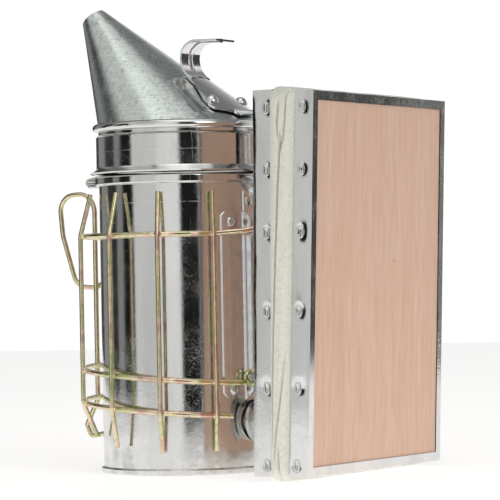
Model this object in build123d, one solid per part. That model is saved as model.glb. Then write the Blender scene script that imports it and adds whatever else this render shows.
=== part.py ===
from build123d import *
import os
from math import asin, atan, cos, degrees, radians, sin, tan

# Bee smoker: a tin fire pot with a hinged cone lid, a wire heat guard with a
# hanging hook, and a leather bellows on a bracket behind it.
# Millimetres. Origin on the floor at the pot's axis, +Z up, +X from the pot
# to the bellows, so the object is nearly symmetric about the XZ plane.

# ---- Driving dimensions -------------------------------------------------
POT_RADIUS = 50.0
POT_WALL = 0.8
POT_TOP = 177.2              # top of the rolled rim
RIM_HEIGHT = 5.8             # of the rolled rim
HEM_HEIGHT = 3.8

LID_BOTTOM = POT_TOP + 1.0
LID_SHEET = 0.9
SKIRT_RADIUS = 51.4
BEAD_RADIUS = 2.6
BEAD_HEIGHT = 206.2
CONE_BASE_Z = BEAD_HEIGHT + BEAD_RADIUS + 0.05
CONE_BASE_RADIUS = 50.2
NOZZLE_CENTRE = (-62.8, 276.0)
NOZZLE_RADIUS = 8.0
NOZZLE_TILT = 37.0           # of the mouth's normal, from vertical

HINGE_X = 61.5
HINGE_Z = 176.0
PIN_RADIUS = 1.5
BARREL_RADIUS = 3.0
RUNNING_GAP = 0.05

STRAP_WIDTH = 20.0
STRAP_SHEET = 1.2

CAGE_X = -5.5                # the guard sits forward of the pot's axis
CAGE_RADIUS = 57.0           # centre line of the guard's rings
RING_WIRE = 3.2
UPRIGHT_WIRE = 2.8
UPRIGHT_RADIUS = 59.6
TOP_RING_Z = 141.5
MIDDLE_RING_Z = 57.8
BOTTOM_RING_Z = 38.4
LOWER_RING_SLOPE = 0.085     # the two lower rings dip towards the bellows

BRACKET_WIDTH = 24.0         # of the channel; its brims reach further
BRACKET_SHEET = 1.2
BRACKET_LOW_Z = 43.6
BRACKET_HIGH_Z = 154.0
BRIM_REACH = 25.5

AIR_Z = 30.5                 # height of the air inlet and outlet
AIR_BORE = 9.6

BELLOWS_X = 96.0             # outer face of the inner board's edging, at its foot
BELLOWS_LIFT = 3.5           # the pot alone stands on the ground
BELLOWS_WIDTH = 152.0
BELLOWS_TOP = 218.5
INNER_TOP = 220.2
INNER_LEAN = 1.0             # degrees from upright, away from the pot
OUTER_LEAN = 2.2
BOARD_SHEET = 9.5
EDGING_SHEET = 0.6
EDGING_LIP = 5.2
INNER_EDGE = 12.9            # width of the inner board's edging
OUTER_EDGE = 13.7
OUTER_X = 117.7              # free edge of the outer board's edging, at its foot
STAPLE_HEIGHTS = (10.0, 53.0, 96.0, 140.0, 175.0, 210.0)
STAPLE_OFFSETS = (-54.0, -18.0, 18.0, 54.0)

GRATE_Z = 26.0
GRATE_RADIUS = 44.0

os.makedirs("parts", exist_ok=True)


# ---- Helpers ------------------------------------------------------------
def save(name, *solids):
    """Write one node: a single solid, or a group of separate ones."""
    shape = solids[0] if len(solids) == 1 else Compound(children=list(solids))
    export_step(shape, f"parts/{name}.step")


def turned(*outline):
    """Turn a closed outline of (radius, height) points about the Z axis."""
    points = [(r, 0, z) for r, z in outline]
    return revolve(make_face(Polyline(*points, close=True)), axis=Axis.Z)


def ring_bead(radius, z, wire):
    """A rolled bead: a torus about the Z axis."""
    return Pos(0, 0, z) * Torus(radius, wire)


def rod(path, diameter):
    """Round wire along a path."""
    return sweep(Plane(origin=path @ 0, z_dir=path % 0) * Circle(diameter / 2), path=path)


def along_x(x0, x1, radius, y=0.0, z=0.0):
    """A cylinder from x0 to x1, parallel to the X axis."""
    return Pos((x0 + x1) / 2, y, z) * Rot(0, 90, 0) * Cylinder(radius, abs(x1 - x0))


def along_y(y0, y1, radius, x, z):
    """A cylinder from y0 to y1, parallel to the Y axis."""
    return Pos(x, (y0 + y1) / 2, z) * Rot(90, 0, 0) * Cylinder(radius, abs(y1 - y0))


def block(x0, x1, y0, y1, z0, z1):
    """A box given by its two corners."""
    centre = Pos((x0 + x1) / 2, (y0 + y1) / 2, (z0 + z1) / 2)
    return centre * Box(abs(x1 - x0), abs(y1 - y0), abs(z1 - z0))


def strip(path, sheet, width):
    """A flat strip bent along a path in the XZ plane, centred on Y = 0."""
    section = Plane(origin=path @ 0, x_dir=(0, 1, 0), z_dir=path % 0)
    return sweep(section * Rectangle(width, sheet), path=path)


def pot_patch(y0, y1, z0, z1, sheet):
    """Sheet that lies against the back of the pot's wall."""
    inner = POT_RADIUS + 0.1
    tube = Pos(0, 0, (z0 + z1) / 2) * Cylinder(inner + sheet, z1 - z0)
    tube -= Pos(0, 0, (z0 + z1) / 2) * Cylinder(inner, z1 - z0)
    return tube & block(0, inner + sheet, y0, y1, z0, z1)


def radial(angle, shape):
    """Carry a shape from the bellows side round the pot by an angle."""
    return Rot(0, 0, angle) * shape


def fixing_holes(fixings, radius=1.95):
    """Holes through the pot's wall and what lies on it, one for each fixing."""
    return [radial(angle, along_x(40, 60, radius, 0, z)) for angle, z in fixings]


def dome(radius, height):
    """A spherical cap that stands on the XY plane."""
    ball = (radius ** 2 + height ** 2) / (2 * height)
    half_angle = asin(radius / ball) / 2
    middle = (ball * sin(half_angle), 0, height - ball + ball * cos(half_angle))
    outline = [Line((0, 0, 0), (radius, 0, 0)), ThreePointArc((radius, 0, 0), middle, (0, 0, height)),
               Line((0, 0, height), (0, 0, 0))]
    return revolve(make_face(outline), axis=Axis.Z)


def rivet(x_face, angle, z, head):
    """A domed rivet through the pot's wall, its head outside."""
    shank = along_x(WALL_BACK - 0.5, x_face + 0.5, 1.9, 0, z)
    tail = along_x(WALL_BACK - 1.0, WALL_BACK, 3.0, 0, z)
    cap = Pos(x_face, 0, z) * Rot(0, 90, 0) * dome(head, 0.62 * head)
    return radial(angle, shank + tail + cap)


def lean(shape, x, angle):
    """Turn a part of the bellows about its foot, away from the pot."""
    return shape.rotate(Axis((x, 0, BELLOWS_LIFT), (0, 1, 0)), angle)


def lean_inner(shape):
    return lean(shape, BELLOWS_X, INNER_LEAN)


def lean_outer(shape):
    return lean(shape, OUTER_X, OUTER_LEAN)


# Fixings through the pot's wall: (angle from the bellows side, height) of each
BRACKET_RIVETS = [(side * 23.0, z) for side in (-1, 1) for z in (49.3, 148.3)]
HINGE_RIVETS = [(side * 7.0, 160.5) for side in (-1, 1)]
WALL_BACK = 48.6             # where the rivets' tails sit, inside the wall


# ---- Fire pot -----------------------------------------------------------
def fire_pot_shell():
    inner = POT_RADIUS - POT_WALL
    wall = turned((inner, 1.2), (POT_RADIUS, 1.2), (POT_RADIUS, POT_TOP - 3.0), (inner, POT_TOP - 3.0))
    hem_section = Pos(50.15, 0, HEM_HEIGHT / 2) * Rot(90, 0, 0) * RectangleRounded(2.6, HEM_HEIGHT, 0.9)
    shell = wall + revolve(hem_section, axis=Axis.Z)
    rim_section = Pos(50.8, 0, POT_TOP - RIM_HEIGHT / 2) * Rot(90, 0, 0) * RectangleRounded(3.2, RIM_HEIGHT, 1.5)
    shell += revolve(rim_section, axis=Axis.Z)
    shell -= fixing_holes(BRACKET_RIVETS + HINGE_RIVETS)
    return shell - along_x(40, 60, AIR_BORE + 1.05, 0, AIR_Z)


def fire_pot_base():
    return Pos(0, 0, 0.5) * Cylinder(48.7, 1.0)


def air_inlet_tube():
    """A flanged tube set in the pot's wall, level with the bellows outlet."""
    tube = along_x(46.5, 64.0, AIR_BORE + 1.0, 0, AIR_Z)
    flange = along_x(50.2, 52.2, 12.8, 0, AIR_Z)
    rolled = Pos(63.0, 0, AIR_Z) * Rot(0, 90, 0) * Torus(AIR_BORE + 1.1, 1.2)
    return tube + flange + rolled - along_x(40, 70, AIR_BORE, 0, AIR_Z)


def fire_grate():
    """A perforated plate on three bent legs that keeps embers off the base."""
    plate = Pos(0, 0, GRATE_Z) * Cylinder(GRATE_RADIUS, 1.0)
    holes = [Pos(r * cos(radians(a)), r * sin(radians(a)), GRATE_Z) * Cylinder(3.2, 3)
             for r, count in ((13.0, 6), (25.0, 12), (37.0, 18))
             for a in [360.0 * i / count for i in range(count)]]
    plate = plate - holes - Pos(0, 0, GRATE_Z) * Cylinder(3.2, 3)
    for i in range(3):
        leg = block(42.6, 43.8, -5, 5, 1.3, GRATE_Z)
        foot = block(38.0, 43.8, -5, 5, 1.3, 2.5)
        plate += Rot(0, 0, 60 + 120 * i) * (leg + foot)
    return plate


# ---- Lid ----------------------------------------------------------------
def lid_collar():
    """Flared lip, plain skirt, groove and bead of the lid, in one sheet."""
    s = SKIRT_RADIUS
    t = LID_SHEET
    skirt = turned((s + 1.4, LID_BOTTOM), (s + 3.5, LID_BOTTOM + 0.3), (s + 3.8, LID_BOTTOM + 1.1),
                   (s + 0.5, LID_BOTTOM + 3.4), (s, LID_BOTTOM + 4.2), (s, 200.6), (s - 1.5, 202.0),
                   (s - 1.5, 204.6), (s - 1.5 - t, 204.6), (s - 1.5 - t, 201.6), (s - t, 200.2),
                   (s - t, LID_BOTTOM + 3.9), (s + 2.1, LID_BOTTOM + 1.3), (s + 0.8, LID_BOTTOM + 0.9))
    bead = ring_bead(SKIRT_RADIUS - 0.6, BEAD_HEIGHT, BEAD_RADIUS)
    return skirt + bead


def cone_solid(inset, overshoot):
    """Oblique cone from the lid's bead to the nozzle, shrunk by inset."""
    rise = NOZZLE_CENTRE[1] - CONE_BASE_Z
    sections = []
    for t in (-overshoot, 1 + overshoot):
        centre = (NOZZLE_CENTRE[0] * t, 0, CONE_BASE_Z + rise * t)
        radius = CONE_BASE_RADIUS + (NOZZLE_RADIUS - CONE_BASE_RADIUS) * t - inset
        tilt = NOZZLE_TILT if t > 0.5 else 0.0
        sections.append(Pos(*centre) * Rot(0, -tilt, 0) * Circle(radius))
    return loft(sections, ruled=True)


def lid_cone():
    return cone_solid(0.0, 0.0) - cone_solid(LID_SHEET, 0.02)


SLOPE = (CONE_BASE_Z - 280.8) / (CONE_BASE_RADIUS + 56.4)     # of the cone's back


def on_back(x):
    """Height of the cone's rear line at x."""
    return CONE_BASE_Z + (x - CONE_BASE_RADIUS) * SLOPE


SLOPE_ANGLE = 33.7
BASE_START = 17.0
BASE_END = 45.0
BASE_LIFT = 1.05
SADDLE_BEND = 78.0


def saddle(x0, x1, lift, half_width, bend, sheet):
    """A plate on the cone's back, curved down at both sides."""
    length = (x1 - x0) / cos(radians(SLOPE_ANGLE))
    middle = (x0 + x1) / 2
    frame = Pos(middle, 0, on_back(middle)) * Rot(0, SLOPE_ANGLE, 0) * Pos(0, 0, lift)
    tube = Rot(0, 90, 0) * Cylinder(bend + sheet, length)
    tube -= Rot(0, 90, 0) * Cylinder(bend, length + 1)
    plate = Pos(0, 0, -bend) * tube & Box(length, 2 * half_width, 40)
    return frame * plate


def plan(*near_side):
    """A closed outline, symmetrical about Y = 0, as a tall prism to cut plates with."""
    points = [(x, -y) for x, y in near_side] + [(x, y) for x, y in reversed(near_side)]
    face = make_face(Polyline(*points, close=True))
    return extrude(fillet(face.vertices(), 2.5), 320.0)


def strap_pad():
    """The leaf-shaped seat under the strap, which follows the cone."""
    outline = plan((8.6, 9.0), (9.6, 17.5), (12.0, 22.5), (18.7, 27.4), (25.0, 30.3), (31.5, 32.4), (35.0, 32.6))
    seat = cone_solid(-0.9, 0.0) - cone_solid(-0.1, 0.0)
    return seat & outline


def finger_strap():
    """Bent strip: finger hook, riveted base, tail over the bead, hinge barrels."""
    path = FilletPolyline((33.0, 0, 256.9), (5.2, 0, 257.8), (8.6, 0, on_back(8.6) + 2.1),
                          (47.4, 0, on_back(47.4) + 2.1), (HINGE_X + 1.4, 0, 211.8),
                          (HINGE_X + 1.4, 0, HINGE_Z + 1.5), radius=[10.0, 13.0, 6.0, 3.5])
    strap = strip(path, STRAP_SHEET, STRAP_WIDTH)
    rib_path = FilletPolyline((30.0, 0, 256.98), (5.2, 0, 257.8), (8.6, 0, on_back(8.6) + 2.1),
                              (22.0, 0, on_back(22.0) + 2.1), radius=[10.0, 13.0])
    rib_section = Plane(origin=rib_path @ 0, x_dir=(0, 1, 0), z_dir=rib_path % 0)
    strap += sweep(rib_section * Ellipse(2.6, 1.25), path=rib_path)
    strap -= block(15.0, 45.0, -15.0, 15.0, 190.0, 245.0)
    base = saddle(8.0, 49.0, BASE_LIFT, 26.0, SADDLE_BEND, STRAP_SHEET)
    strap += base & plan((10.0, 9.6), (18.0, 12.0), (24.0, 16.4), (29.5, 20.4), (34.0, 22.0), (38.5, 21.2),
                         (42.0, 15.5), (45.0, 10.8), (48.0, 10.0))
    strap += along_y(-STRAP_WIDTH / 2, STRAP_WIDTH / 2, BARREL_RADIUS, HINGE_X, HINGE_Z)
    strap -= block(HINGE_X - 9, HINGE_X + 9, -5.3, 5.3, HINGE_Z - 9, HINGE_Z + 6)
    strap -= along_y(-20, 20, PIN_RADIUS + RUNNING_GAP, HINGE_X, HINGE_Z)
    for side in (-1, 1):
        strap -= base_frame(side) * Cylinder(2.0, 8)
    return strap


RIVET_X = 33.2
RIVET_TURN = 11.7            # degrees round the saddle, to each side


def base_frame(side):
    """On top of the strap's base at one of its two rivets, square to it."""
    frame = Pos(RIVET_X, 0, on_back(RIVET_X)) * Rot(0, SLOPE_ANGLE, 0)
    frame = frame * Pos(0, 0, BASE_LIFT - SADDLE_BEND) * Rot(-side * RIVET_TURN, 0, 0)
    return frame * Pos(0, 0, SADDLE_BEND + STRAP_SHEET)


def strap_rivets():
    rivet_body = Pos(0, 0, 0.12) * dome(3.9, 2.6) + Pos(0, 0, -0.6) * Cylinder(1.8, 1.8)
    return [base_frame(side) * rivet_body for side in (-1, 1)]


def front_lift_tab():
    """A small tongue on the lid's lip, opposite the hinge, curled down for the thumb."""
    path = FilletPolyline((-55.35, 0, 178.9), (-69.0, 0, 176.2), (-63.6, 0, 171.9), radius=2.2)
    return strip(path, 0.8, 14.0)


# ---- Lid hinge ----------------------------------------------------------
def hinge_lower_leaf():
    half = STRAP_WIDTH / 2
    foot = pot_patch(-half, half, 154.5, 166.5, 1.2)
    neck_path = FilletPolyline((50.9, 0, 163.5), (50.9, 0, 166.4), (58.2, 0, 170.6),
                               (HINGE_X - 0.6, 0, HINGE_Z), radius=[1.2, 2.0])
    leaf = foot + strip(neck_path, 1.2, 10.2)
    leaf += along_y(-5.1, 5.1, BARREL_RADIUS, HINGE_X, HINGE_Z)
    leaf -= fixing_holes(HINGE_RIVETS)
    return leaf - along_y(-6, 6, PIN_RADIUS + 0.01, HINGE_X, HINGE_Z)


def hinge_pin():
    pin = along_y(-10.6, 10.6, PIN_RADIUS, HINGE_X, HINGE_Z)
    for side in (-1, 1):
        pin += along_y(side * 10.3, side * 11.4, 2.3, HINGE_X, HINGE_Z)
    return pin


# ---- Wire guard ---------------------------------------------------------
UPRIGHTS = (                 # angle, radius and height of the foot, radius of the top
    (33.8, 57.8, 14.3, 58.9),
    (66.4, 54.5, 13.7, 54.7),
    (97.1, 55.3, 16.7, 52.9),
    (128.0, 51.1, 22.0, 52.9),
)
EYE_X, EYE_Z = 55.3, 56.4    # of the middle ring's eyes, on the bracket's sides
EYE_Y = BRACKET_WIDTH / 2 + 1.4


def open_ring(z, end_angle, *ends):
    """A ring open at the bellows side, its two ends led on through more points."""
    arc = CenterArc((CAGE_X, 0, 0), CAGE_RADIUS, end_angle, 360 - 2 * end_angle)
    ring = rod(arc, RING_WIRE)
    corner = Vector(CAGE_RADIUS, 0, 0).rotate(Axis.Z, end_angle) + Vector(CAGE_X, 0, 0)
    for side in (-1, 1):
        path = [(corner.X, side * corner.Y, 0)] + [(x, side * y, up) for x, y, up in ends]
        lead = FilletPolyline(*path, radius=4.0) if len(path) > 2 else Line(*path)
        ring += rod(lead, RING_WIRE)
        ring += Pos(*path[0]) * Sphere(RING_WIRE / 2 + 0.02)
    return Pos(0, 0, z) * ring


def lower_ring(z, end_angle, *ends):
    """An open ring that dips towards the bellows."""
    slope = -degrees(atan(LOWER_RING_SLOPE))
    return Pos(0, 0, z) * (Pos(0, 0, -z) * open_ring(z, end_angle, *ends)).rotate(Axis.Y, -slope)


def guard_top_ring():
    """Its ends rise to the sides of the bracket."""
    return open_ring(TOP_RING_Z, 32.0, (56.5, 21.0, 1.2), (66.0, EYE_Y + 0.3, 3.5))


def guard_middle_ring():
    """Its two ends turn in and close in eyes on the bracket's sides."""
    ring = lower_ring(MIDDLE_RING_Z, 33.0, (51.4, 19.8, 0), (52.2, EYE_Y + 1.4, 0.5))
    eye = Pos(EYE_X, 0, EYE_Z) * Rot(90, 0, 0) * Torus(4.0, 1.35)
    return [ring] + [Pos(0, side * EYE_Y, 0) * eye for side in (-1, 1)]


def guard_bottom_ring():
    return lower_ring(BOTTOM_RING_Z, 33.0, (49.6, 24.5, 0))


def guard_uprights():
    """Wires welded to the outside of the rings, their ends turned in to the pot."""
    wires = []
    for angle, foot_radius, foot_z, top_radius in UPRIGHTS:
        bend = BOTTOM_RING_Z - LOWER_RING_SLOPE * (CAGE_X + UPRIGHT_RADIUS * cos(radians(angle)))
        path = FilletPolyline((foot_radius, 0, foot_z), (UPRIGHT_RADIUS, 0, bend),
                              (UPRIGHT_RADIUS, 0, TOP_RING_Z), (top_radius, 0, 166.5), radius=6.0)
        upright = rod(path, UPRIGHT_WIRE)
        wires += [Pos(CAGE_X, 0, 0) * Rot(0, 0, side * angle) * upright for side in (-1, 1)]
    return wires


def hanging_hook():
    """The front upright, carried up and over into a hook beside itself."""
    r = CAGE_X - UPRIGHT_RADIUS
    path = FilletPolyline((-57.0, 0, 21.8), (-70.4, 0, 19.6), (-73.8, 0, 26.0), (r, 0, 42.0),
                          (r, 0, 169.0), (-92.3, 0.6, 167.6), (-90.3, 1.2, 143.0),
                          (-81.5, 2.8, 111.6), (-66.8, 3.4, 110.6), (-61.2, 3.4, 114.2),
                          radius=[2.5, 3.0, 5.0, 11.5, 10.5, 25.0, 9.0, 4.0])
    return rod(path, UPRIGHT_WIRE + 0.2)


def clamp_bolts():
    """Short bolts through the bracket's sides, inside the middle ring's eyes."""
    bolts = []
    for side in (-1, 1):
        face = side * BRACKET_WIDTH / 2
        head = along_y(face + side * 0.05, face + side * 1.5, 2.3, EYE_X, EYE_Z)
        bolts.append(head + along_y(face - side * 4.4, face + side * 0.5, 1.9, EYE_X, EYE_Z))
    return bolts


def clamp_nuts():
    nuts = []
    for side in (-1, 1):
        seat = side * (BRACKET_WIDTH / 2 - BRACKET_SHEET - 0.05)
        nut = Pos(EYE_X, seat, EYE_Z) * Rot(side * 90, 0, 0) * extrude(RegularPolygon(3.4, 6), 2.3)
        nuts.append(nut - along_y(-15, 15, 1.95, EYE_X, EYE_Z))
    return nuts


# ---- Bellows bracket ----------------------------------------------------
BOLT_ROWS = (69.8, 128.0)
WEB_LOW_Z, WEB_HIGH_Z = 54.0, 145.5
WEB_BACK = BELLOWS_X + EDGING_SHEET
BOLT_SEAT = WEB_BACK + BOARD_SHEET + 0.1   # under the bolts' heads


def bellows_bracket():
    """A hat-shaped channel: brims riveted to the pot, two sides, a web on the board."""
    half = BRACKET_WIDTH / 2
    s = BRACKET_SHEET
    low, high = BRACKET_LOW_Z, BRACKET_HIGH_Z
    bracket = lean_inner(block(WEB_BACK - s, WEB_BACK, -half, half, WEB_LOW_Z, WEB_HIGH_Z))
    side_outline = ((49.0, low), (51.5, low), (61.0, WEB_LOW_Z), (104.0, WEB_LOW_Z),
                    (104.0, WEB_HIGH_Z), (60.0, WEB_HIGH_Z), (52.2, high), (49.0, high))
    side_face = make_face(Polyline(*[(x, 0, z) for x, z in side_outline], close=True))
    beyond = Pos(0, 0, 100) * Cylinder(POT_RADIUS + 0.1, 240) + lean_inner(block(WEB_BACK, 120, -30, 30, 0, 200))
    brim_outline = ((half - s, low), (BRIM_REACH - 3.5, low), (BRIM_REACH, low + 4.0),
                    (BRIM_REACH, high - 2.0), (BRIM_REACH - 2.0, high), (half - s, high))
    for side in (-1, 1):
        middle = side * (half - s / 2)
        bracket += Pos(0, middle, 0) * extrude(side_face, s / 2, both=True) - beyond
        brim_face = make_face(Polyline(*[(0, side * y, z) for y, z in brim_outline], close=True))
        bracket += pot_patch(-30, 30, low, high, s) & extrude(brim_face, 60.0, dir=(1, 0, 0))
    bracket -= fixing_holes(BRACKET_RIVETS)
    bracket -= along_y(-20, 20, 1.95, EYE_X, EYE_Z)
    for z in BOLT_ROWS:
        bracket -= lean_inner(along_x(90, 105, 2.55, 0, z))
    return bracket


def bracket_bolts():
    """Dome-headed bolts through the web and the inner board."""
    bolts = []
    for z in BOLT_ROWS:
        head = Pos(BOLT_SEAT, 0, z) * Rot(0, 90, 0) * dome(5.0, 1.9)
        bolts.append(lean_inner(head + along_x(90.0, BOLT_SEAT + 0.5, 2.5, 0, z)))
    return bolts


def bracket_nuts():
    nuts = []
    for z in BOLT_ROWS:
        nut = Pos(WEB_BACK - BRACKET_SHEET - 3.3, 0, z) * Rot(0, 90, 0) * extrude(RegularPolygon(4.6, 6), 3.2)
        nuts.append(lean_inner(nut - along_x(80, 105, 2.55, 0, z)))
    return nuts


# ---- Bellows ------------------------------------------------------------
def edging(x0, x1, lip_x0, lip_x1, top):
    """Sheet edging round a board: a side flange and a lip on its face."""
    half = BELLOWS_WIDTH / 2
    low = BELLOWS_LIFT
    t = EDGING_SHEET
    outer = fillet(block(x0, x1, -half, half, low, top).edges().filter_by(Axis.X), 1.2)
    flange = outer - block(x0 - 1, x1 + 1, -half + t, half - t, low + t, top - t)
    face = outer & block(lip_x0, lip_x1, -half, half, low, top)
    lip = face - block(lip_x0 - 1, lip_x1 + 1, -half + EDGING_LIP, half - EDGING_LIP,
                       low + EDGING_LIP, top - EDGING_LIP)
    return flange + lip


def plywood(x0, top):
    """A board that fits inside its edging."""
    gap = EDGING_SHEET + 0.05
    half = BELLOWS_WIDTH / 2 - gap
    return block(x0, x0 + BOARD_SHEET, -half, half, BELLOWS_LIFT + gap, top - gap)


def staple(x, y, z, turn):
    """The crown of a staple, standing proud of the edging."""
    crown = extrude(RectangleRounded(1.5, 10.0, 0.7), 0.9)
    return Pos(x, y, z) * Rot(turn, 0, 0) * crown


def staples(x, top):
    half = BELLOWS_WIDTH / 2
    group = []
    for z in STAPLE_HEIGHTS:
        group.append(staple(x, -half, z, 90))
        group.append(staple(x, half, z, -90))
    group += [staple(x, y, top, 0) for y in STAPLE_OFFSETS]
    return group


def inner_edging():
    return lean_inner(edging(BELLOWS_X, BELLOWS_X + INNER_EDGE, BELLOWS_X, BELLOWS_X + EDGING_SHEET,
                             INNER_TOP))


def inner_board():
    board = plywood(WEB_BACK + 0.05, INNER_TOP) - along_x(90, 115, AIR_BORE + 1.05, 0, AIR_Z)
    for z in BOLT_ROWS:
        board -= along_x(90, 115, 2.55, 0, z)
    return lean_inner(board)


def outlet_ferrule():
    """The bellows outlet: a flanged tube that points at the pot's air inlet."""
    tube = along_x(83.0, WEB_BACK + BOARD_SHEET, AIR_BORE + 1.0, 0, AIR_Z)
    flange = along_x(WEB_BACK - 1.2, WEB_BACK, 14.5, 0, AIR_Z)
    rolled = Pos(84.0, 0, AIR_Z) * Rot(0, 90, 0) * Torus(AIR_BORE + 0.9, 1.1)
    return lean_inner(tube + flange + rolled - along_x(80, 115, AIR_BORE, 0, AIR_Z))


def outer_edging():
    x1 = OUTER_X + OUTER_EDGE
    return lean_outer(edging(OUTER_X, x1, x1 - EDGING_SHEET, x1, BELLOWS_TOP))


def outer_board():
    return lean_outer(plywood(OUTER_X + OUTER_EDGE - EDGING_SHEET - 0.05 - BOARD_SHEET, BELLOWS_TOP))


def leather_gusset():
    """The leather between the boards, as a plain wedge-shaped frame."""
    inner_slope = tan(radians(INNER_LEAN))
    outer_slope = tan(radians(OUTER_LEAN))
    x_in = BELLOWS_X + INNER_EDGE + 0.5
    x_out = OUTER_X - 0.5

    def wedge(low, high, half, spread):
        bottom = low - BELLOWS_LIFT
        top = high - BELLOWS_LIFT
        corners = ((x_in + bottom * inner_slope - spread, low), (x_out + bottom * outer_slope + spread, low),
                   (x_out + top * outer_slope + spread, high), (x_in + top * inner_slope - spread, high))
        face = make_face(Polyline(*[(x, 0, z) for x, z in corners], close=True))
        return extrude(face, half, both=True)

    return wedge(3.0, 223.0, 80.5, 0.0) - wedge(11.0, 212.0, 69.0, 4.0)


def bellows_spring():
    """The return spring between the boards."""
    z = 99.0
    x0 = WEB_BACK + BOARD_SHEET + (z - BELLOWS_LIFT) * tan(radians(INNER_LEAN)) + 1.6
    x1 = OUTER_X + OUTER_EDGE - BOARD_SHEET - 2.6 + (z - BELLOWS_LIFT) * tan(radians(OUTER_LEAN))
    coil = Helix(pitch=(x1 - x0) / 4, height=x1 - x0, radius=15.0)
    return Pos(x0, 0, z) * Rot(0, 90, 0) * rod(coil, 1.8)


def main():
    save("fire_pot_shell", fire_pot_shell())
    save("fire_pot_base", fire_pot_base())
    save("air_inlet_tube", air_inlet_tube())
    save("fire_grate", fire_grate())

    save("lid_collar", lid_collar())
    save("lid_cone", lid_cone())
    save("strap_pad", strap_pad())
    save("finger_strap", finger_strap())
    save("strap_rivets", *strap_rivets())
    save("front_lift_tab", front_lift_tab())

    save("hinge_lower_leaf", hinge_lower_leaf())
    save("hinge_pin", hinge_pin())
    save("hinge_rivets", *[rivet(POT_RADIUS + 1.3, angle, z, 3.0) for angle, z in HINGE_RIVETS])

    save("guard_top_ring", guard_top_ring())
    save("guard_middle_ring", *guard_middle_ring())
    save("guard_bottom_ring", guard_bottom_ring())
    save("guard_uprights", *guard_uprights())
    save("hanging_hook", hanging_hook())
    save("clamp_bolts", *clamp_bolts())
    save("clamp_nuts", *clamp_nuts())

    save("bellows_bracket", bellows_bracket())
    save("bracket_rivets", *[rivet(POT_RADIUS + 1.3, angle, z, 3.0) for angle, z in BRACKET_RIVETS])
    save("bracket_bolts", *bracket_bolts())
    save("bracket_nuts", *bracket_nuts())

    save("inner_board", inner_board())
    save("inner_edging", inner_edging())
    save("inner_staples", *[lean_inner(s) for s in staples(BELLOWS_X + 8.6, INNER_TOP)])
    save("outlet_ferrule", outlet_ferrule())
    save("outer_board", outer_board())
    save("outer_edging", outer_edging())
    save("outer_staples", *[lean_outer(s) for s in staples(OUTER_X + 6.0, BELLOWS_TOP)])
    save("leather_gusset", leather_gusset())
    save("bellows_spring", bellows_spring())


main()
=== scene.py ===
"""Looks of a bee smoker: materials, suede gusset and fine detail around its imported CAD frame.

Metres throughout. The pot stands on z = 0, the bellows are towards +X.
"""
import math
import random

import bpy
from mathutils import Matrix, Vector, noise


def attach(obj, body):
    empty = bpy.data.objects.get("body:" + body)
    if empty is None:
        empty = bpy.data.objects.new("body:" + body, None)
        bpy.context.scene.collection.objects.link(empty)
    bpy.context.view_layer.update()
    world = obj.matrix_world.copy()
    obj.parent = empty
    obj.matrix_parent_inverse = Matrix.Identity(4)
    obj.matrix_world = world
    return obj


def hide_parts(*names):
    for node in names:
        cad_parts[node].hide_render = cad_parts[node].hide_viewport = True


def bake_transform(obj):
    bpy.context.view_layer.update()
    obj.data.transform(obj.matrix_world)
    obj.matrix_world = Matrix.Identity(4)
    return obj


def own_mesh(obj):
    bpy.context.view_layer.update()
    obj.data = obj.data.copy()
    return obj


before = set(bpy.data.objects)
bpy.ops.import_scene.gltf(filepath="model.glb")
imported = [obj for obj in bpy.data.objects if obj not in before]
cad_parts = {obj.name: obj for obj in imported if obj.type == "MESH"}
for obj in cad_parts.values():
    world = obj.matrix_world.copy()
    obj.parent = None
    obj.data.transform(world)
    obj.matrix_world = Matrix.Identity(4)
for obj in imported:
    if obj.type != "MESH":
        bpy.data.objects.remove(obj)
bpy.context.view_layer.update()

MM = 0.001

# Bellows: both boards lean away from the pot, each about its own foot.
FOOT_Z = 3.5 * MM
BELLOWS_TOP = 218.5 * MM
INNER_RISE = 1.7 * MM      # the inner board stands this much higher
BELLOWS_HALF = 76.0 * MM
INNER_FACE_X = 96.0 * MM
INNER_EDGE_X = 108.9 * MM
OUTER_EDGE_X = 117.7 * MM
OUTER_FACE_X = 131.4 * MM
INNER_LEAN = math.radians(1.0)
OUTER_LEAN = math.radians(2.2)

# Wire guard: its axis stands in front of the pot's, and the lower rings dip towards the bellows.
CAGE_X = -5.5 * MM
WELD_RADIUS = 58.4 * MM
UPRIGHT_ANGLES = (33.8, 66.4, 97.1, 128.0)
RING_HEIGHTS = ((141.5 * MM, 0.0), (57.8 * MM, 0.085), (38.4 * MM, 0.085))


# ---------------------------------------------------------------- camera, light

CAMERA_PLACE = Vector((0.9516, -1.4200, 0.1155))
CAMERA_YAW = 0.5669
CAMERA_PITCH = -0.0095
CAMERA_ROLL = -0.0191
CAMERA_LENS = 204.17


def make_camera():
    forward = Vector((-math.sin(CAMERA_YAW) * math.cos(CAMERA_PITCH),
                      math.cos(CAMERA_YAW) * math.cos(CAMERA_PITCH),
                      -math.sin(CAMERA_PITCH)))
    level = Vector((math.cos(CAMERA_YAW), math.sin(CAMERA_YAW), 0.0))
    upright = level.cross(forward)
    right = math.cos(CAMERA_ROLL) * level + math.sin(CAMERA_ROLL) * upright
    up = -math.sin(CAMERA_ROLL) * level + math.cos(CAMERA_ROLL) * upright
    data = bpy.data.cameras.new("camera")
    data.sensor_width = 36.0
    data.lens = CAMERA_LENS
    data.clip_end = 50.0
    camera = bpy.data.objects.new("camera", data)
    bpy.context.collection.objects.link(camera)
    turn = Matrix((right, up, -forward)).transposed()
    camera.matrix_world = Matrix.Translation(CAMERA_PLACE) @ turn.to_4x4()
    bpy.context.scene.camera = camera


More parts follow.
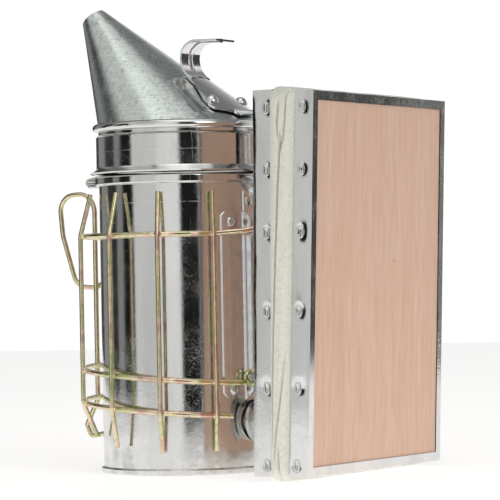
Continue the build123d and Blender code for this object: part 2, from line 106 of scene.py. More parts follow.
def add(tree, kind, inputs=None, **settings):
    """A shader node with its settings and its inputs, each a value or a socket to link."""
    node = tree.nodes.new(kind)
    for key, value in settings.items():
        setattr(node, key, value)
    for key, value in (inputs or {}).items():
        if isinstance(value, bpy.types.NodeSocket):
            tree.links.new(value, node.inputs[key])
        else:
            node.inputs[key].default_value = value
    return node


def fill_ramp(ramp, stops, interpolation="LINEAR"):
    ramp.interpolation = interpolation
    while len(ramp.elements) > 1:
        ramp.elements.remove(ramp.elements[-1])
    for index, (place, colour) in enumerate(stops):
        element = ramp.elements[0] if index == 0 else ramp.elements.new(place)
        element.position = place
        element.color = (*colour, 1.0) if len(colour) == 3 else colour


# Studio cards around the object: (degrees from the front, to the right; grey level).
STUDIO_CARDS = (
    (-180, 1.0), (-172, 0.9), (-168, 0.04), (-150, 0.06), (-146, 0.27), (-127, 0.25),
    (-123, 0.05), (-104, 0.03), (-101, 0.26), (-92, 0.24), (-88, 0.012), (-71.5, 0.012),
    (-69.5, 0.66), (-36, 0.64), (-32, 0.80), (-4, 0.84), (-1, 0.012), (23, 0.015), (27, 1.6),
    (37, 1.5), (41, 0.32), (98, 0.25), (101, 0.06), (119, 0.05), (123, 1.0), (137, 1.0),
    (140, 0.35), (168, 0.40), (172, 1.0), (180, 1.0),
)

# The same for the ceiling, which the funnel and the upward faces reflect.
CEILING_CARDS = (
    (-180, 0.20), (-125, 0.20), (-114, 0.24), (-104, 0.66), (-68, 0.62), (-58, 0.34),
    (-44, 0.42), (-22, 0.80), (8, 0.80), (40, 0.33), (90, 0.20), (180, 0.20),
)


def make_studio():
    world = bpy.data.worlds.new("studio")
    bpy.context.scene.world = world
    world.use_nodes = True
    tree = world.node_tree
    tree.nodes.clear()
    front = (math.sin(CAMERA_YAW), -math.cos(CAMERA_YAW), 0.0)
    side = (math.cos(CAMERA_YAW), math.sin(CAMERA_YAW), 0.0)
    way = add(tree, "ShaderNodeTexCoord").outputs["Generated"]
    to_front = add(tree, "ShaderNodeVectorMath", {0: way, 1: front}, operation="DOT_PRODUCT")
    to_side = add(tree, "ShaderNodeVectorMath", {0: way, 1: side}, operation="DOT_PRODUCT")
    angle = add(tree, "ShaderNodeMath", {0: to_side.outputs["Value"], 1: to_front.outputs["Value"]},
                operation="ARCTAN2")
    place = add(tree, "ShaderNodeMapRange", {"Value": angle.outputs[0], "From Min": -math.pi,
                                             "From Max": math.pi})
    cards = add(tree, "ShaderNodeValToRGB", {"Fac": place.outputs[0]})
    fill_ramp(cards.color_ramp, [((a + 180) / 360, (v, v, v * 0.985)) for a, v in STUDIO_CARDS])
    height = add(tree, "ShaderNodeSeparateXYZ", {0: way}).outputs["Z"]
    ceiling = add(tree, "ShaderNodeMapRange", {"Value": height, "From Min": 0.42, "From Max": 0.62})
    overhead = add(tree, "ShaderNodeValToRGB", {"Fac": place.outputs[0]})
    fill_ramp(overhead.color_ramp, [((a + 180) / 360, (v, v, v * 0.985)) for a, v in CEILING_CARDS])
    lit = add(tree, "ShaderNodeMix", {"Factor": ceiling.outputs[0], 6: cards.outputs[0],
                                      7: overhead.outputs[0]}, data_type="RGBA")
    cards_light = add(tree, "ShaderNodeBackground", {"Color": lit.outputs[2], "Strength": 1.0})
    white = add(tree, "ShaderNodeBackground", {"Color": (1.0, 1.0, 1.0, 1.0), "Strength": 1.05})
    seen = add(tree, "ShaderNodeLightPath")
    both = add(tree, "ShaderNodeMixShader", {0: seen.outputs["Is Camera Ray"],
                                             1: cards_light.outputs[0], 2: white.outputs[0]})
    add(tree, "ShaderNodeOutputWorld", {"Surface": both.outputs[0]})


def soft_light(name, place, target, size, power):
    data = bpy.data.lights.new(name, "AREA")
    data.shape = "DISK"
    data.size = size
    data.energy = power
    light = bpy.data.objects.new(name, data)
    bpy.context.collection.objects.link(light)
    way = Vector(target) - Vector(place)
    light.matrix_world = Matrix.Translation(place) @ way.to_track_quat("-Z", "Y").to_matrix().to_4x4()
    return light


def make_lights():
    soft_light("overhead", (0.2, -0.2, 1.6), (0.05, 0, 0.1), 1.4, 3.0)
    soft_light("front_fill", (1.5, -0.7, 0.9), (0.05, 0, 0.12), 0.9, 3.3)


# A small floor in front, so that the pot mirrors the studio cards nearly down to its foot.
FLOOR_HALF = 0.9
FLOOR_FRONT = 0.46
FLOOR_BACK = 3.0


def make_floor():
    mesh = bpy.data.meshes.new("floor")
    front = Matrix.Rotation(CAMERA_YAW, 4, "Z")
    outline = ((-FLOOR_HALF, -FLOOR_FRONT), (FLOOR_HALF, -FLOOR_FRONT),
               (FLOOR_HALF, FLOOR_BACK), (-FLOOR_HALF, FLOOR_BACK))
    corners = [front @ Vector((x, y, 0)) for x, y in outline]
    mesh.from_pydata([tuple(p) for p in corners], [], [(0, 1, 2, 3)])
    floor = bpy.data.objects.new("floor", mesh)
    bpy.context.collection.objects.link(floor)
    paint = bpy.data.materials.new("floor_paper")
    paint.use_nodes = True
    tree = paint.node_tree
    tree.nodes.clear()
    shader = add(tree, "ShaderNodeBsdfPrincipled",
                 {"Base Color": (0.80, 0.78, 0.775, 1), "Roughness": 0.7, "Specular IOR Level": 0.1,
                  "Emission Color": (1, 1, 1, 1), "Emission Strength": 0.58})
    add(tree, "ShaderNodeOutputMaterial", {"Surface": shader.outputs[0]})
    mesh.materials.append(paint)


# ---------------------------------------------------------------- materials

class Paint:
    """A procedural material, in the object's own metres."""

    def __init__(self, name):
        self.material = bpy.data.materials.new(name)
        self.material.use_nodes = True
        self.tree = self.material.node_tree
        self.tree.nodes.clear()
        self.place = self.node("ShaderNodeTexCoord").outputs["Object"]

    def node(self, kind, inputs=None, **settings):
        return add(self.tree, kind, inputs, **settings)

    def stretched(self, scale, turn=(0, 0, 0)):
        return self.node("ShaderNodeMapping", {"Vector": self.place, "Rotation": turn,
                                               "Scale": scale}).outputs[0]

    def noise(self, scale, detail=3.0, rough=0.5, where=None, distort=0.0):
        made = self.node("ShaderNodeTexNoise", {"Vector": where or self.place, "Scale": scale,
                                                "Detail": detail, "Roughness": rough,
                                                "Distortion": distort})
        return made.outputs["Fac"]

    def ramp(self, factor, *stops):
        """Greys or colours at places from 0 to 1."""
        made = self.node("ShaderNodeValToRGB", {"Fac": factor})
        fill_ramp(made.color_ramp, [(p, (c, c, c) if isinstance(c, (int, float)) else c)
                                    for p, c in stops])
        return made.outputs["Color"]

    def mix(self, factor, a, b, blend="MIX"):
        def colour(value):
            if isinstance(value, tuple) and len(value) == 3:
                return (*value, 1.0)
            return value
        made = self.node("ShaderNodeMix", {"Factor": factor, 6: colour(a), 7: colour(b)},
                         data_type="RGBA", blend_type=blend)
        return made.outputs[2]

    def math(self, operation, a, b=0.0, clamp=False):
        return self.node("ShaderNodeMath", {0: a, 1: b}, operation=operation,
                         use_clamp=clamp).outputs[0]

    def axis(self, name, where=None):
        return self.node("ShaderNodeSeparateXYZ", {0: where or self.place}).outputs[name]

    def band(self, value, centre, width):
        """1 within width of centre, 0 elsewhere, with soft edges."""
        gap = self.math("ABSOLUTE", self.math("SUBTRACT", value, centre))
        return self.node("ShaderNodeMapRange", {"Value": gap, "From Min": width, "From Max": width * 0.4,
                                                "To Min": 0.0, "To Max": 1.0}).outputs[0]

    def bump(self, height, distance, strength=1.0, under=None):
        inputs = {"Height": height, "Distance": distance, "Strength": strength}
        if under is not None:
            inputs["Normal"] = under
        return self.node("ShaderNodeBump", inputs).outputs[0]

    def finish(self, **inputs):
        sockets = {"base": "Base Color", "rough": "Roughness", "metal": "Metallic", "normal": "Normal",
                   "sheen": "Sheen Weight", "sheen_rough": "Sheen Roughness",
                   "specular": "Specular IOR Level",
                   "coat": "Coat Weight", "coat_rough": "Coat Roughness", "aniso": "Anisotropic",
                   "sheen_tint": "Sheen Tint"}
        values = {}
        for key, value in inputs.items():
            if isinstance(value, tuple) and len(value) == 3:
                value = (*value, 1.0)
            values[sockets[key]] = value
        shader = self.node("ShaderNodeBsdfPrincipled", values)
        self.node("ShaderNodeOutputMaterial", {"Surface": shader.outputs[0]})
        return self.material


def tinplate(name, pitting=1.0, scribes=(), cloudy=False, tone=0.80):
    """Bright tinned sheet: mirror-like, finely pitted, with faint smears and scratches."""
    p = Paint(name)
    fine = p.noise(1500.0, 2.0, 0.6)
    speck = p.noise(650.0, 4.0, 0.7)
    patch = p.noise(60.0, 3.0, 0.55)
    smear = p.noise(1.0, 4.0, 0.6, where=p.stretched((55.0, 55.0, 9.0)))
    pits = p.mix(0.5, p.ramp(speck, (0.40, 0.0), (0.62, 1.0)), p.ramp(fine, (0.35, 0.0), (0.65, 1.0)))
    rough = p.mix(p.ramp(patch, (0.38, 0.0), (0.66, 1.0)), (0.030,) * 3, (0.065,) * 3)
    rough = p.mix(p.ramp(speck, (0.52, 0.0), (0.72, 1.0)), rough, (0.17,) * 3)
    base = p.mix(p.ramp(smear, (0.35, 0.0), (0.70, 1.0)), (tone, tone, tone * 0.985),
                 (tone * 0.86, tone * 0.865, tone * 0.85))
    flecks = p.noise(1300.0, 5.0, 0.7)
    frost = p.math("MULTIPLY", p.ramp(flecks, (0.46, 0.0), (0.60, 1.0)),
                   p.ramp(patch, (0.42, 0.1), (0.62, 1.0)))
    rough = p.mix(frost, rough, (0.27,) * 3)
    normal = p.bump(pits, 0.000030 * pitting, 0.3)
    waves = p.noise(1.0, 2.0, 0.5, where=p.stretched((34.0, 34.0, 14.0)))
    normal = p.bump(waves, 0.0005, 0.10, normal)
    scratch = p.noise(1.0, 2.0, 0.5, where=p.stretched((900.0, 900.0, 22.0), (0.0, 0.35, 0.5)))
    rough = p.mix(p.ramp(scratch, (0.70, 0.0), (0.73, 0.7)), rough, (0.42,) * 3)
    height = p.axis("Z")
    for level in scribes:
        line = p.math("MULTIPLY", p.band(height, level, 0.00026), p.ramp(smear, (0.3, 0.25), (0.6, 0.75)))
        rough = p.mix(line, rough, (0.45,) * 3)
        base = p.mix(p.math("MULTIPLY", line, 0.7), base, (0.93, 0.92, 0.9))
        normal = p.bump(p.math("SUBTRACT", 1.0, line), 0.00006, 0.3, normal)
    if cloudy:
        low = p.node("ShaderNodeMapRange", {"Value": height, "From Min": 0.042, "From Max": 0.004}).outputs[0]
        cloud = p.math("MULTIPLY", low, p.ramp(p.noise(110.0, 4.0, 0.6), (0.40, 0.1), (0.62, 1.0)))
        rough = p.mix(cloud, rough, (0.36,) * 3)
        base = p.mix(p.math("MULTIPLY", cloud, 0.5), base, (0.80, 0.80, 0.78))
    return p.finish(base=base, rough=rough, metal=1.0, normal=normal)


def galvanised(name, tone=(0.60, 0.645, 0.62)):
    """Hand-brushed galvanised sheet for the funnel: hazy, with short cross strokes and bright scratches."""
    p = Paint(name)
    strokes = p.noise(1.0, 3.0, 0.6, where=p.stretched((160.0, 160.0, 1500.0), (0.0, 0.55, 0.0)))
    along = p.noise(1.0, 3.0, 0.6, where=p.stretched((420.0, 420.0, 36.0), (0.0, -0.42, 0.0)))
    cloud = p.noise(42.0, 4.0, 0.6)
    base = p.mix(p.ramp(cloud, (0.35, 0.0), (0.68, 1.0)), tone, tuple(c * 1.25 for c in tone))
    base = p.mix(p.ramp(strokes, (0.42, 0.0), (0.70, 0.75)), base, (0.92, 0.97, 0.93))
    base = p.mix(p.ramp(along, (0.30, 0.6), (0.48, 0.0)), base, (0.34, 0.37, 0.355))
    scratch = p.noise(1.0, 1.0, 0.5, where=p.stretched((520.0, 700.0, 26.0), (0.0, -0.95, 0.2)))
    scratch = p.ramp(scratch, (0.72, 0.0), (0.735, 0.8))
    base = p.mix(scratch, base, (0.95, 0.97, 0.96))
    rough = p.mix(p.ramp(cloud, (0.35, 0.0), (0.70, 1.0)), (0.20,) * 3, (0.32,) * 3)
    rough = p.mix(scratch, rough, (0.5,) * 3)
    normal = p.bump(p.mix(0.5, strokes, along), 0.000045, 0.45)
    normal = p.bump(p.noise(30.0, 2.0, 0.5), 0.0010, 0.12, normal)
    return p.finish(base=base, rough=rough, metal=1.0, normal=normal)


def bright_steel(name, tone=(0.80, 0.81, 0.82), low=0.08, high=0.2, grain=0.00002):
    """Polished or plated steel with light handling marks."""
    p = Paint(name)
    marks = p.noise(160.0, 4.0, 0.6)
    fine = p.noise(1200.0, 3.0, 0.6)
    rough = p.mix(p.ramp(marks, (0.35, 0.0), (0.68, 1.0)), (low,) * 3, (high,) * 3)
    base = p.mix(p.ramp(marks, (0.4, 0.0), (0.75, 1.0)), tone, tuple(c * 0.86 for c in tone))
    normal = p.bump(fine, grain, 0.3)
    normal = p.bump(p.noise(70.0, 2.0, 0.5), 0.0004, 0.1, normal)
    return p.finish(base=base, rough=rough, metal=1.0, normal=normal)


def passivated_wire(name):
    """Yellow-passivated zinc wire: pale gold that drifts to green and to pink along its length."""
    p = Paint(name)
    drift = p.noise(46.0, 3.0, 0.6, distort=0.4)
    cross = p.noise(260.0, 3.0, 0.6)
    base = p.ramp(drift, (0.30, (0.44, 0.52, 0.24)), (0.42, (0.70, 0.66, 0.38)), (0.52, (0.84, 0.72, 0.50)),
                  (0.60, (0.78, 0.50, 0.44)), (0.70, (0.48, 0.54, 0.28)))
    base = p.mix(p.ramp(cross, (0.48, 0.0), (0.70, 0.55)), base, (0.33, 0.38, 0.20))
    rough = p.mix(p.ramp(cross, (0.35, 0.0), (0.70, 1.0)), (0.10,) * 3, (0.26,) * 3)
    normal = p.bump(p.noise(700.0, 3.0, 0.6), 0.00006, 0.3)
    return p.finish(base=base, rough=rough, metal=1.0, normal=normal)


def plywood(name):
    """Rotary-cut face veneer, pale pink, its grain upright, with small pin knots."""
    p = Paint(name)
    broad = p.noise(1.0, 3.0, 0.55, where=p.stretched((60.0, 55.0, 2.2)))
    lines = p.noise(1.0, 4.0, 0.62, where=p.stretched((800.0, 620.0, 9.0)))
    pores = p.noise(1.0, 2.0, 0.5, where=p.stretched((1600.0, 1500.0, 75.0)))
    base = p.mix(p.ramp(broad, (0.30, 0.0), (0.70, 1.0)), (0.90, 0.640, 0.490), (0.84, 0.56, 0.42))
    base = p.mix(p.ramp(lines, (0.42, 0.0), (0.68, 0.75)), base, (0.76, 0.48, 0.35))
    base = p.mix(p.ramp(lines, (0.22, 0.55), (0.40, 0.0)), base, (0.97, 0.78, 0.64))
    base = p.mix(p.ramp(pores, (0.64, 0.0), (0.78, 0.5)), base, (0.58, 0.30, 0.20))
    for y, z, size in ((0.018, 0.1235, 0.0021), (-0.028, 0.075, 0.0011), (0.040, 0.062, 0.0013)):
        spot = p.node("ShaderNodeVectorMath", {0: p.place, 1: (0.0, y, z)}, operation="SUBTRACT").outputs[0]
        flat = p.node("ShaderNodeMapping", {"Vector": spot, "Scale": (0.0, 1.0, 2.6)}).outputs[0]
        reach = p.node("ShaderNodeVectorMath", {0: flat}, operation="LENGTH").outputs["Value"]
        near = p.node("ShaderNodeMapRange", {"Value": reach, "From Min": size,
                                             "From Max": size * 0.3}).outputs[0]
        base = p.mix(p.math("MULTIPLY", near, 0.6), base, (0.42, 0.24, 0.15))
    normal = p.bump(lines, 0.00025, 0.22)
    normal = p.bump(pores, 0.0002, 0.2, normal)
    rough = p.mix(lines, (0.52,) * 3, (0.70,) * 3)
    return p.finish(base=base, rough=rough, metal=0.0, normal=normal, specular=0.35)


def suede(name):
    """Cream split leather: soft nap with lighter and darker strokes."""
    p = Paint(name)
    nap = p.noise(900.0, 5.0, 0.7)
    tuft = p.noise(330.0, 4.0, 0.65)
    wide = p.noise(45.0, 3.0, 0.5)
    base = p.mix(p.ramp(tuft, (0.35, 0.0), (0.68, 1.0)), (0.88, 0.885, 0.77), (0.97, 0.97, 0.88))
    base = p.mix(p.ramp(nap, (0.30, 0.8), (0.50, 0.0)), base, (0.62, 0.625, 0.51))
    base = p.mix(p.ramp(wide, (0.35, 0.0), (0.70, 0.5)), base, (0.90, 0.90, 0.80))
    normal = p.bump(nap, 0.0007, 0.8)
    normal = p.bump(tuft, 0.0006, 0.5, normal)
    return p.finish(base=base, rough=0.95, metal=0.0, normal=normal, sheen=0.45, sheen_rough=0.5,
                    specular=0.15)


def paint_nodes(materials):
    for material, nodes in materials:
        for name in nodes:
            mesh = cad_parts[name].data
            mesh.materials.clear()
            mesh.materials.append(material)


# ---------------------------------------------------------------- detailed pieces

def mesh_object(name, points, faces, material, smooth=True):
    mesh = bpy.data.meshes.new(name)
    mesh.from_pydata([tuple(p) for p in points], [], faces)
    mesh.validate()
    mesh.materials.append(material)
    if smooth:
        mesh.shade_smooth()
    made = bpy.data.objects.new(name, mesh)
    bpy.context.collection.objects.link(made)
    return made


def smoothstep(low, high, value):
    t = min(1.0, max(0.0, (value - low) / (high - low)))
    return t * t * (3.0 - 2.0 * t)


def table_value(rows, at):
    """Linear interpolation in rows of (place, value), ordered by place."""
    if at <= rows[0][0]:
        return rows[0][1]
    for (x0, y0), (x1, y1) in zip(rows, rows[1:]):
        if at <= x1:
            return y0 + (y1 - y0) * (at - x0) / (x1 - x0)
    return rows[-1][1]


def leaning(x_at_foot, z, lean):
    return x_at_foot + (z - FOOT_Z) * math.tan(lean)


def bellows_outline(step, radius):
    """Points and outward directions round the bellows' rounded rectangle, from the near side's foot."""
    low, high, half = FOOT_Z, BELLOWS_TOP, BELLOWS_HALF
    corners = ((-half + radius, low + radius, 180, 270), (half - radius, low + radius, 270, 360),
               (half - radius, high - radius, 0, 90), (-half + radius, high - radius, 90, 180))
    path = []
    for index, (y, z, first, last) in enumerate(corners):
        count = max(6, round(math.pi / 2 * radius / step))
        for k in range(count + 1):
            angle = math.radians(first + (last - first) * k / count)
            out = (math.cos(angle), math.sin(angle))
            path.append((y + radius * out[0], z + radius * out[1], out))
        y2, z2, first2, _ = corners[(index + 1) % 4]
        angle = math.radians(last)
        out = (math.cos(angle), math.sin(angle))
        start = (y + radius * out[0], z + radius * out[1])
        end = (y2 + radius * math.cos(math.radians(first2)), z2 + radius * math.sin(math.radians(first2)))
        length = math.dist(start, end)
        count = round(length / step)
        for k in range(1, count):
            f = k / count
            path.append((start[0] + (end[0] - start[0]) * f, start[1] + (end[1] - start[1]) * f, out))
    return path


# Folds of the near side: (height, place across the gap) down each crease, and its depth there.
NEAR_FOLDS = (
    (((0.006, 0.30), (0.045, 0.22), (0.085, 0.30), (0.125, 0.40), (0.165, 0.52), (0.190, 0.62)),
     ((0.010, 0.0), (0.045, 0.75), (0.070, 1.0), (0.190, 1.0), (0.196, 0.0)), 0.045),
    (((0.012, 0.36), (0.030, 0.52), (0.048, 0.76), (0.075, 0.99)),
     ((0.010, 0.0), (0.018, 0.55), (0.048, 0.7), (0.068, 0.5), (0.080, 0.0)), 0.060),
    (((0.003, 0.74), (0.020, 0.64)),
     ((0.003, 0.7), (0.016, 0.5), (0.024, 0.0)), 0.050),
    (((0.186, 0.64), (0.192, 0.50), (0.200, 0.46), (0.209, 0.52), (0.215, 0.60)),
     ((0.186, 0.5), (0.191, 0.3), (0.198, 0.9), (0.208, 0.9), (0.214, 0.0)), 0.040),
    (((0.186, 0.64), (0.193, 0.78), (0.205, 0.84), (0.218, 0.88)),
     ((0.186, 0.7), (0.193, 0.9), (0.214, 0.85), (0.220, 0.5)), 0.036),
)


def near_fold_depth(across, z):
    depth = 0.0
    for path, strength, width in NEAR_FOLDS:
        if strength[0][0] <= z <= strength[-1][0]:
            gap = (across - table_value(path, z)) / width
            depth += table_value(strength, z) * math.exp(-gap * gap)
    return min(depth, 1.15)


def far_fold_depth(across, run):
    """Folds of the sides that face away: one wandering crease and a few short side creases."""
    middle = 0.5 + 0.16 * noise.noise((run * 18.0, 3.1, 0.0)) + 0.07 * noise.noise((run * 60.0, 7.7, 0.0))
    gap = (across - middle) / 0.05
    depth = math.exp(-gap * gap)
    side = 0.5 + 0.42 * math.sin(run * 41.0)
    strength = smoothstep(0.1, 0.5, noise.noise((run * 26.0, 11.3, 0.0)))
    gap = (across - side) / 0.045
    return min(1.0, depth + 0.6 * strength * math.exp(-gap * gap))


def suede_gusset(material):
    """The leather between the boards: one band round the bellows, puffed out and creased."""
    across_count = 60
    inner_lap, outer_lap = 0.04, 0.14
    path = bellows_outline(1.3 * MM, 5.0 * MM)
    points = []
    run = 0.0
    previous = None
    for y, z, (out_y, out_z) in path:
        if previous is not None:
            run += math.dist((y, z), previous)
        previous = (y, z)
        x_in = leaning(INNER_EDGE_X, z, INNER_LEAN)
        x_out = leaning(OUTER_EDGE_X, z, OUTER_LEAN)
        width = x_out - x_in
        near = smoothstep(-0.2, -0.9, out_y)
        puff = 5.3 * MM
        if out_z < 0:
            puff -= (puff - 2.9 * MM) * smoothstep(0.0, 0.8, -out_z)
        elif out_z > 0:
            puff -= 3.3 * MM * smoothstep(0.0, 0.8, out_z)
        ring = []
        for k in range(across_count + 1):
            t = k / across_count
            across = -inner_lap + t * (1.0 + inner_lap + outer_lap)
            lobe = max(0.0, 1.0 - abs(2.0 * t - 1.0) ** 3.2) ** 0.52
            fold = near * near_fold_depth(across, z) + (1.0 - near) * far_fold_depth(across, run)
            wave = 0.35 * MM * noise.noise((across * 3.0 + 5.0, run * 42.0, 1.0))
            fuzz = 0.16 * MM * noise.noise((across * 14.0, run * 900.0, 4.0))
            fuzz += 0.12 * MM * noise.noise((across * 40.0, run * 2200.0, 9.0))
            rise = 0.25 * MM + puff * lobe - fold * (puff - 0.6 * MM) * lobe + (wave + fuzz) * lobe
            lateral = 0.22 * MM * noise.noise((run * 700.0, t * 9.0, 2.0)) * (1.0 if t in (0.0, 1.0) else 0.3)
            x = x_in + across * width + lateral
            stand = INNER_RISE * (1.0 - across) * smoothstep(0.15, 0.21, z)
            ring.append((x, y + out_y * rise, z + out_z * rise + stand))
        inner_depth = 3.2 * MM
        for t in (1.02, 0.66, 0.34, -0.02):
            x = x_in + t * width
            ring.append((x, y - out_y * inner_depth, z - out_z * inner_depth))
        points.append(ring)
    count = len(points)
    width_count = len(points[0])
    verts = [p for ring in points for p in ring]
    faces = []
    for i in range(count):
        j = (i + 1) % count
        for k in range(width_count):
            m = (k + 1) % width_count
            faces.append((i * width_count + k, j * width_count + k, j * width_count + m, i * width_count + m))
    gusset = mesh_object("suede_gusset", verts, faces, material)
    middle = (FOOT_Z + BELLOWS_TOP) / 2
    start = Vector((leaning(INNER_EDGE_X, middle, INNER_LEAN), 0.0, middle))
    width = leaning(OUTER_EDGE_X, middle, OUTER_LEAN) - start.x
    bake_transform(gusset)
    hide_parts("leather_gusset")
    return gusset


# Edging strips and their staples: heights up the sides, and places across the top.
STAPLE_HEIGHTS = tuple(z * MM for z in (10.0, 53.0, 96.0, 140.0, 175.0, 210.0))
STAPLE_OFFSETS = tuple(y * MM for y in (-54.0, -18.0, 18.0, 54.0))
EDGING_LIP = 5.2 * MM
EDGING_SHEET = 0.6 * MM
BOARD_DEPTH = 0.62 * MM       # of the plywood's edge under the strip
STRIP_PROUD = 0.42 * MM       # how far the strip bulges where nothing presses it in
DIMPLE_DEPTH = 1.0 * MM
DIMPLE_LENGTH = 3.6 * MM
DIMPLE_WIDTH = 3.0 * MM
STAPLE_HALF_WIDTH = 1.45
STAPLE_HALF_LENGTH = 3.0
STAPLE_WIRE_RADIUS = 0.48 * MM
INNER_STAPLE_X = INNER_FACE_X + 8.6 * MM
OUTER_STAPLE_X = OUTER_EDGE_X + 6.0 * MM
INNER_WRINKLE = 0.25 * MM
OUTER_WRINKLE = 0.5 * MM


def staple_spots(side, top):
    """Distances along one side of the strip to its staples: bottom, far, top and near side."""
    if side == 0:
        return []
    if side == 2:
        return [BELLOWS_HALF - y for y in STAPLE_OFFSETS]
    return [z - FOOT_Z if side == 1 else top - z for z in STAPLE_HEIGHTS]


def pressed_strip(name, x_in, x_out, lean, top, staple_x, lip_first, wrinkle, material):
    """A tin strip round a board: mitred sides, dimpled at the staples, slightly wavy, with a face lip."""
    count, across_count = 170, 12
    low, half = FOOT_Z, BELLOWS_HALF
    corners = ((-half, low), (half, low), (half, top), (-half, top))
    outs = ((0.0, -1.0), (1.0, 0.0), (0.0, 1.0), (-1.0, 0.0))
    x_lip = x_in if lip_first else x_out
    verts = []
    faces = []

    def grid(place, rows, columns):
        """Add one sheet of quads, its points given by place(row, column)."""
        first = len(verts)
        for i in range(rows + 1):
            for k in range(columns + 1):
                x, y, z = place(i / rows, k / columns)
                verts.append((x + (z - FOOT_Z) * math.tan(lean), y, z))
        for i in range(rows):
            for k in range(columns):
                a = first + i * (columns + 1) + k
                faces.append((a, a + columns + 1, a + columns + 2, a + 1))

    for side in range(4):
        (y0, z0), (y1, z1) = corners[side], corners[(side + 1) % 4]
        out_y, out_z = outs[side]
        length = math.dist((y0, z0), (y1, z1))
        spots = staple_spots(side, top)

        def flange(f, t, under=0.0):
            x = x_in + (x_out - x_in) * t
            press = sum(math.exp(-((f * length - spot) / DIMPLE_LENGTH) ** 2
                                 - ((x - staple_x) / DIMPLE_WIDTH) ** 2)
                        for spot in spots)
            wave = noise.noise((x * 70.0 + side, f * length * 52.0, 3.7 + x_in * 40.0))
            calm = smoothstep(0.0, 0.04, min(f, 1.0 - f)) * smoothstep(0.0, 1.6 * MM, abs(x - x_lip))
            pressed = DIMPLE_DEPTH * min(1.0, press)
            depth = calm * (pressed + wrinkle * max(0.0, wave + 0.25) - STRIP_PROUD)
            depth = min(depth + under, BOARD_DEPTH)
            inset = min(length / 2, under)
            f = (inset + f * (length - 2 * inset)) / length
            return x, y0 + (y1 - y0) * f - out_y * depth, z0 + (z1 - z0) * f - out_z * depth

        def lip(f, t, under=0.0):
            inset = t * EDGING_LIP
            f = (inset + f * (length - 2 * inset)) / length
            x = x_lip + (under if lip_first else -under)
            return x, y0 + (y1 - y0) * f - out_y * inset, z0 + (z1 - z0) * f - out_z * inset

        grid(flange, count, across_count)
        grid(lambda f, t: flange(f, t, EDGING_SHEET), count, across_count)
        grid(lip, 12, 2)
        grid(lambda f, t: lip(f, t, EDGING_SHEET), 12, 2)
    strip = mesh_object(name, verts, faces, material)
    strip.data.set_sharp_from_angle(angle=math.radians(40))
    return strip


def staple_loops(name, x, lean, top, material):
    """The staples of one strip, as flattened wire loops pressed into their dimples."""
    verts = []
    faces = []
    turns, sides = 28, 8
    places = [((side, 0.0), side * BELLOWS_HALF, z) for z in STAPLE_HEIGHTS for side in (-1.0, 1.0)]
    places += [((0.0, 1.0), y, top) for y in STAPLE_OFFSETS]
    for (out_y, out_z), y, z in places:
        out = Vector((0.0, out_y, out_z))
        across = Vector((1.0, 0.0, 0.0))
        along = out.cross(across)
        centre = Vector((x + (z - FOOT_Z) * math.tan(lean), y, z)) + out * 0.02 * MM
        first = len(verts)
        for i in range(turns):
            turn = 2 * math.pi * i / turns
            way = Vector((math.cos(turn), math.sin(turn)))
            reach = (abs(way.x) ** 4 + abs(way.y) ** 4) ** -0.25
            middle = centre + (across * way.x * STAPLE_HALF_WIDTH
                               + along * way.y * STAPLE_HALF_LENGTH) * reach * MM
            outward = (across * way.x + along * way.y * 0.6).normalized()
            for k in range(sides):
                angle = 2 * math.pi * k / sides
                around = outward * math.cos(angle) + out * math.sin(angle)
                verts.append(middle + around * STAPLE_WIRE_RADIUS)
        for i in range(turns):
            for k in range(sides):
                a, b = first + i * sides, first + (i + 1) % turns * sides
                m = (k + 1) % sides
                faces.append((a + k, b + k, b + m, a + m))
    return mesh_object(name, verts, faces, material)


def edged_board(which, x_in, x_out, lean, top, staple_x, wrinkle, tin, wire, body):
    """The strip and the staples of one board, in place of the plain ones."""
    lip_first = which == "inner"
    strip = pressed_strip(f"{which}_strip", x_in, x_out, lean, top, staple_x, lip_first, wrinkle, tin)
    loops = staple_loops(f"{which}_loops", staple_x, lean, top, wire)
    swaps = ((strip, f"{which}_edging", "edging_tin"), (loops, f"{which}_staples", "fastener_steel"))
    for made, node, slot in swaps:
        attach(made, body)
        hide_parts(node)


def weld_beads(material):
    """Spot-weld flash where each upright crosses a ring."""
    verts = []
    faces = []
    rng = random.Random(12)
    rings, sides = 7, 10
    places = []
    for height, slope in RING_HEIGHTS:
        for angle in UPRIGHT_ANGLES:
            places += [(math.radians(angle), height, slope), (math.radians(-angle), height, slope)]
        places.append((math.pi, height, slope))
    for angle, height, slope in places:
        out = Vector((math.cos(angle), math.sin(angle), 0.0))
        tangent = Vector((-math.sin(angle), math.cos(angle), 0.0))
        middle = out * WELD_RADIUS + Vector((CAGE_X, 0, 0))
        centre = middle + Vector((0, 0, height - slope * middle.x))
        size = Vector((rng.uniform(1.7, 2.1), rng.uniform(1.9, 2.5), rng.uniform(1.8, 2.3))) * MM
        first = len(verts)
        for i in range(rings + 1):
            polar = math.pi * i / rings
            for k in range(sides):
                turn = 2 * math.pi * k / sides
                shape = Vector((math.sin(polar) * math.cos(turn), math.sin(polar) * math.sin(turn),
                                math.cos(polar)))
                grow = 1.0 + 0.16 * noise.noise(shape * 1.8 + Vector((angle * 7, height * 90, 0)))
                verts.append(centre + (out * shape.x * size.x + tangent * shape.y * size.y
                                       + Vector((0, 0, shape.z * size.z))) * grow)
        for i in range(rings):
            for k in range(sides):
                m = (k + 1) % sides
                a, b = first + i * sides, first + (i + 1) * sides
                faces.append((a + k, b + k, b + m, a + m))
    beads = mesh_object("weld_beads", verts, faces, material)
    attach(beads, "pot")


def coil_spring(material):
    """The spring between the boards, which on the real smoker shortens as the bellows close; here a fixed
    copy on the pot.
    """
    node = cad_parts["bellows_spring"]
    spring = bpy.data.objects.new("return_spring", node.data.copy())
    bpy.context.collection.objects.link(spring)
    spring.data.materials.clear()
    spring.data.materials.append(material)
    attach(spring, "pot")
    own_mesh(spring)
    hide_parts("bellows_spring")


# ---------------------------------------------------------------- build

make_camera()
make_studio()
make_lights()
make_floor()

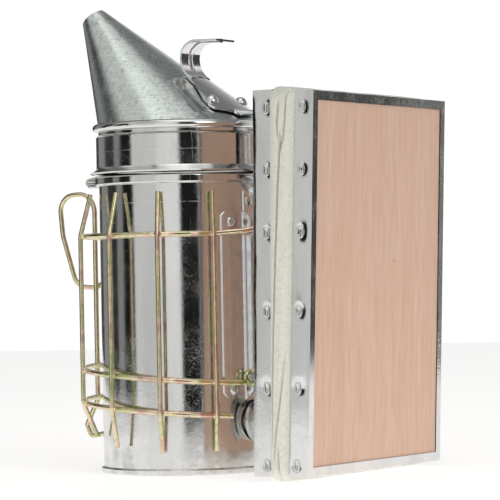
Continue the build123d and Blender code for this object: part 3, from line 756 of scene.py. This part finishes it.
tin_pot = tinplate("tin_pot", scribes=(0.1605,), cloudy=True)
tin_lid = tinplate("tin_lid", scribes=(0.1915,))
edging_tin = tinplate("edging_tin", pitting=1.2, tone=0.78)
cone_sheet = galvanised("cone_galvanised")
strap_steel = bright_steel("strap_steel", (0.82, 0.83, 0.85), 0.05, 0.16)
plate_steel = bright_steel("fastener_steel", (0.70, 0.73, 0.72), 0.14, 0.30, 0.00003)
pad_steel = bright_steel("pad_steel", (0.66, 0.70, 0.68), 0.12, 0.24, 0.00003)
staple_wire = bright_steel("staple_wire", (0.78, 0.79, 0.76), 0.16, 0.3)
wire_zinc = passivated_wire("wire_zinc")
veneer = plywood("plywood")
suede_leather = suede("suede")

paint_nodes((
    (tin_pot, ("fire_pot_shell", "fire_pot_base")),
    (tin_lid, ("lid_collar", "front_lift_tab")),
    (cone_sheet, ("lid_cone",)),
    (pad_steel, ("strap_pad",)),
    (strap_steel, ("finger_strap", "strap_rivets", "hinge_lower_leaf", "bellows_bracket")),
    (plate_steel, ("fire_grate", "air_inlet_tube", "hinge_pin", "hinge_rivets", "clamp_bolts", "clamp_nuts",
                   "bracket_rivets", "bracket_bolts", "bracket_nuts", "outlet_ferrule", "bellows_spring")),
    (wire_zinc, ("guard_top_ring", "guard_middle_ring", "guard_bottom_ring", "guard_uprights",
                 "hanging_hook")),
    (edging_tin, ("inner_edging", "outer_edging")),
    (staple_wire, ("inner_staples", "outer_staples")),
    (veneer, ("inner_board", "outer_board")),
    (suede_leather, ("leather_gusset",)),
))

suede_gusset(suede_leather)
edged_board("inner", INNER_FACE_X, INNER_EDGE_X, INNER_LEAN, BELLOWS_TOP + INNER_RISE,
            INNER_STAPLE_X, INNER_WRINKLE, edging_tin, staple_wire, "pot")
edged_board("outer", OUTER_EDGE_X, OUTER_FACE_X, OUTER_LEAN, BELLOWS_TOP,
            OUTER_STAPLE_X, OUTER_WRINKLE, edging_tin, staple_wire, "bellows_board")
weld_beads(wire_zinc)
coil_spring(plate_steel)

bpy.context.scene.view_settings.view_transform = "Standard"
